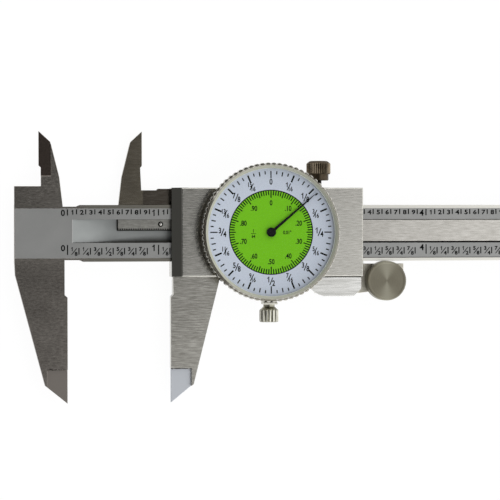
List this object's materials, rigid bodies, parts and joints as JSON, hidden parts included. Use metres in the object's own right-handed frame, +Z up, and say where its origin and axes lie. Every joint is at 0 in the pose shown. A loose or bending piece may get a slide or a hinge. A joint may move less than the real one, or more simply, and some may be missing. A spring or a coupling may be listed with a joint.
{
  "type": "dial caliper",
  "caption": "Dial caliper for outside, inside and depth measuring: a graduated beam with paired jaws, and a slider whose rack-driven pointer reads on a round dial.",
  "frame": {"origin": "centre of the bounding box at its lowest level, on the plane that the tool lies on", "axes": "+X along the beam from the fixed jaws to its right end, +Y across the beam towards the inside jaws, +Z up through the dial towards the reader"},
  "size_m": [0.264, 0.076, 0.0176],
  "materials": {
    "beam": "satin chromed scale band, ground jaws",
    "rack": "plain cut steel",
    "end_stop": "satin",
    "slider_frame": "long brushed lines, ground jaws",
    "back_plate": "satin",
    "gib": "plain strip",
    "lock_screw": "turned and knurled, dull",
    "depth_bar": "drawn bright",
    "roller_bracket": "plain sheet",
    "thumb_roller": "turned face",
    "dial_case": "turned and blasted",
    "rack_pinion": "cut steel",
    "drive_gear": "cut brass",
    "centre_gear": "cut brass",
    "bridge": "bent strip",
    "pointer": "black, semi-gloss",
    "bezel": "satin, knurled edge",
    "dial_face": "matt white with a green centre and black print",
    "crystal": "clear, polished",
    "clamp_shoe": "plain",
    "bezel_clamp_screw": "fluted knob, bright"
  },
  "bodies": {
    "beam": {"beam": "beam", "rack": "rack", "end_stop": "end_stop"},
    "slider": {"slider_frame": "slider_frame", "back_plate": "back_plate", "gib": "gib", "depth_bar": "depth_bar", "roller_bracket": "roller_bracket", "dial_case": "dial_case", "bridge": "bridge", "clamp_shoe": "clamp_shoe"},
    "lock_screw": {"lock_screw": "lock_screw"},
    "roller": {"thumb_roller": "thumb_roller"},
    "rack_pinion": {"rack_pinion": "rack_pinion", "drive_gear": "drive_gear"},
    "pointer": {"pointer": "pointer", "centre_gear": "centre_gear"},
    "bezel": {"bezel": "bezel", "dial_face": "dial_face", "crystal": "crystal"},
    "bezel_clamp": {"bezel_clamp_screw": "bezel_clamp_screw"}
  },
  "joints": [
    {"name": "slider_slide", "type": "slide", "parent": "beam", "child": "slider", "axis": [1, 0, 0], "range_m": [-0.02888, 0.1235]},
    {"name": "roller_spin", "type": "hinge", "parent": "slider", "child": "roller", "pos_m": [-0.0274, -0.00407, 0.0056], "axis": [0, 0, 1], "range_deg": [-297.5, 1265.6]},
    {"name": "rack_pinion_spin", "type": "hinge", "parent": "slider", "child": "rack_pinion", "pos_m": [-0.06712, 0.00901, 0.0056], "axis": [0, 0, 1], "range_deg": [-1025.3, 4378]},
    {"name": "pointer_spin", "type": "hinge", "parent": "slider", "child": "pointer", "pos_m": [-0.06155, 0.00959, 0.0056], "axis": [0, 0, 1], "range_deg": [-1752.4, 411.3]},
    {"name": "bezel_turn", "type": "hinge", "parent": "slider", "child": "bezel", "pos_m": [-0.06155, 0.00959, 0.0056], "axis": [0, 0, 1], "continuous": true},
    {"name": "lock_screw_turn", "type": "hinge", "parent": "slider", "child": "lock_screw", "pos_m": [-0.0463, 0.02601, 0.0039], "axis": [0, 1, 0], "range_deg": [-50, 720]},
    {"name": "bezel_clamp_turn", "type": "hinge", "parent": "slider", "child": "bezel_clamp", "pos_m": [-0.06155, -0.01044, 0.0106], "axis": [0, -1, 0], "range_deg": [-50, 720]}
  ],
  "couplings": [
    {"joint": "roller_spin", "follows": "slider_slide", "rad_per_m": 178.57},
    {"joint": "rack_pinion_spin", "follows": "slider_slide", "rad_per_m": 618.42},
    {"joint": "pointer_spin", "follows": "slider_slide", "rad_per_m": -247.37}
  ]
}
